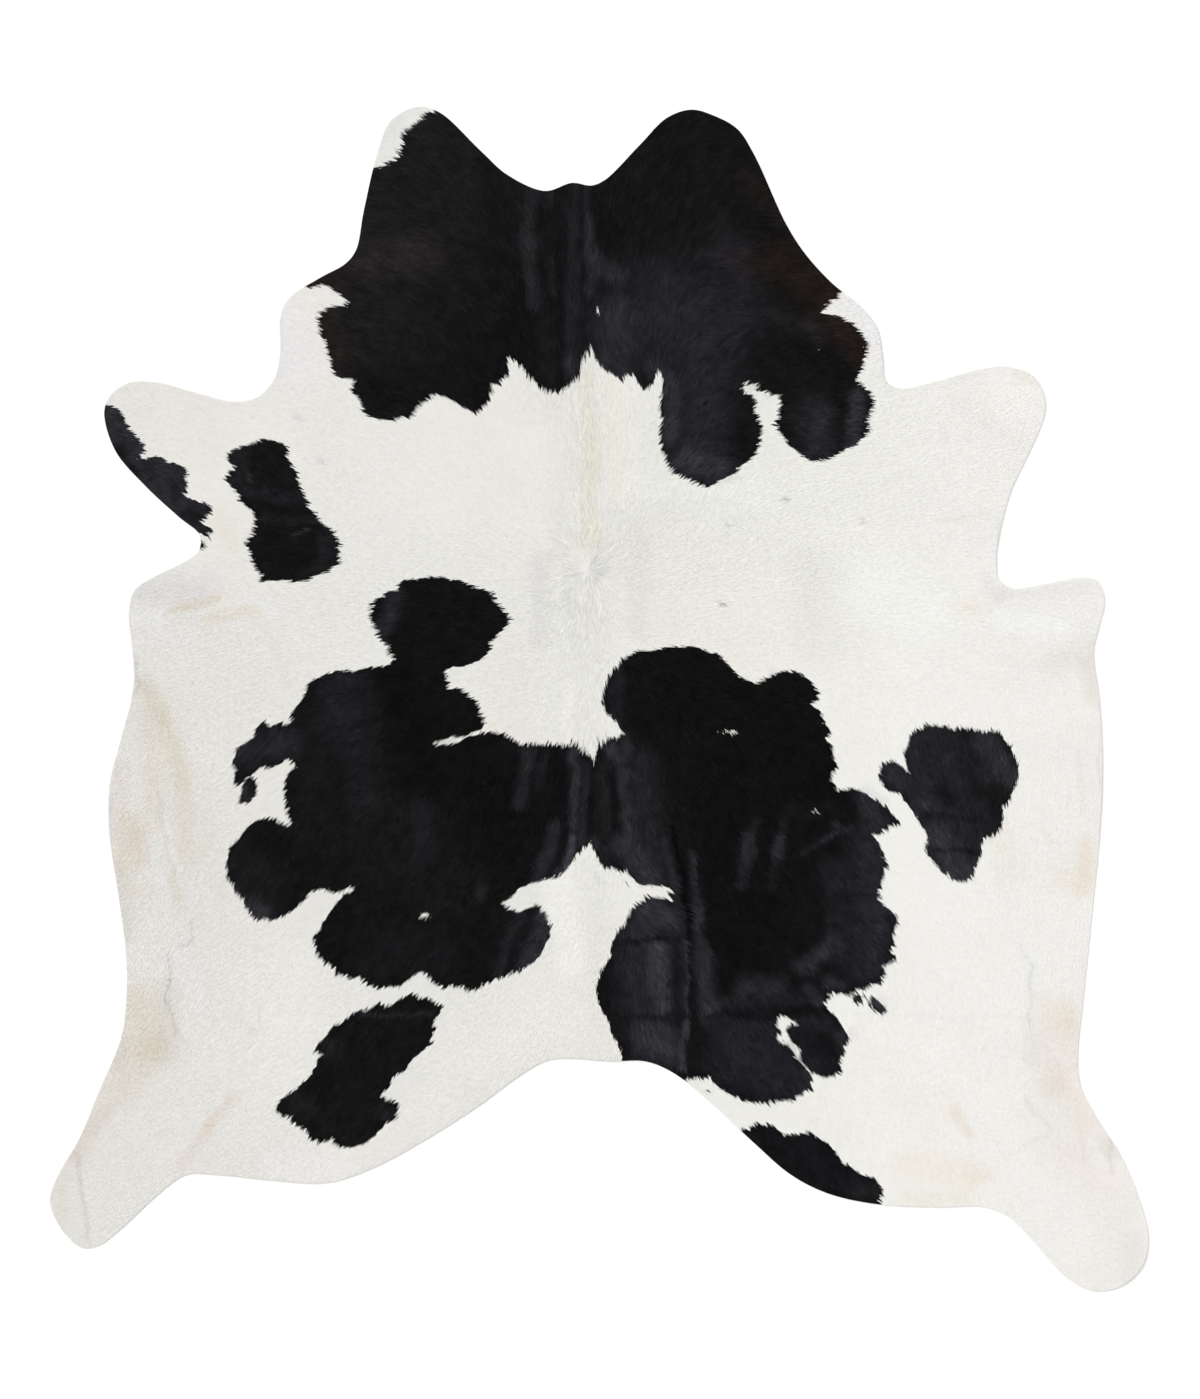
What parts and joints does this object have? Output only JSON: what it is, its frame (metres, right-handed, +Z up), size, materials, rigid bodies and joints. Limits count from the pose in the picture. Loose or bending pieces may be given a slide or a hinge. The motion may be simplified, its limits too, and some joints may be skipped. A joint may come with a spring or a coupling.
{
  "type": "cowhide rug",
  "caption": "Flat cowhide rug: one whole hide with its short hair on, black patches on white, spread legs and a two-lobed neck edge, trimmed smooth all round.",
  "frame": {"origin": "middle of the laid hide's outline, on the surface that it lies on", "axes": "+Y towards the neck, +X to the right seen from above, +Z up out of the hair side"},
  "size_m": [2.03, 2.19, 0.0086],
  "materials": {
    "white_coat": "short smooth off-white cattle hair lying flat, with beige and grey stains near the belly edges",
    "black_coat": "short glossy black cattle hair, brownish towards the neck's edges",
    "skin": "pale napped flesh side and knife-cut edge of the tanned skin"
  },
  "bodies": {
    "root": {"hide": "white_coat"}
  },
  "joints": []
}
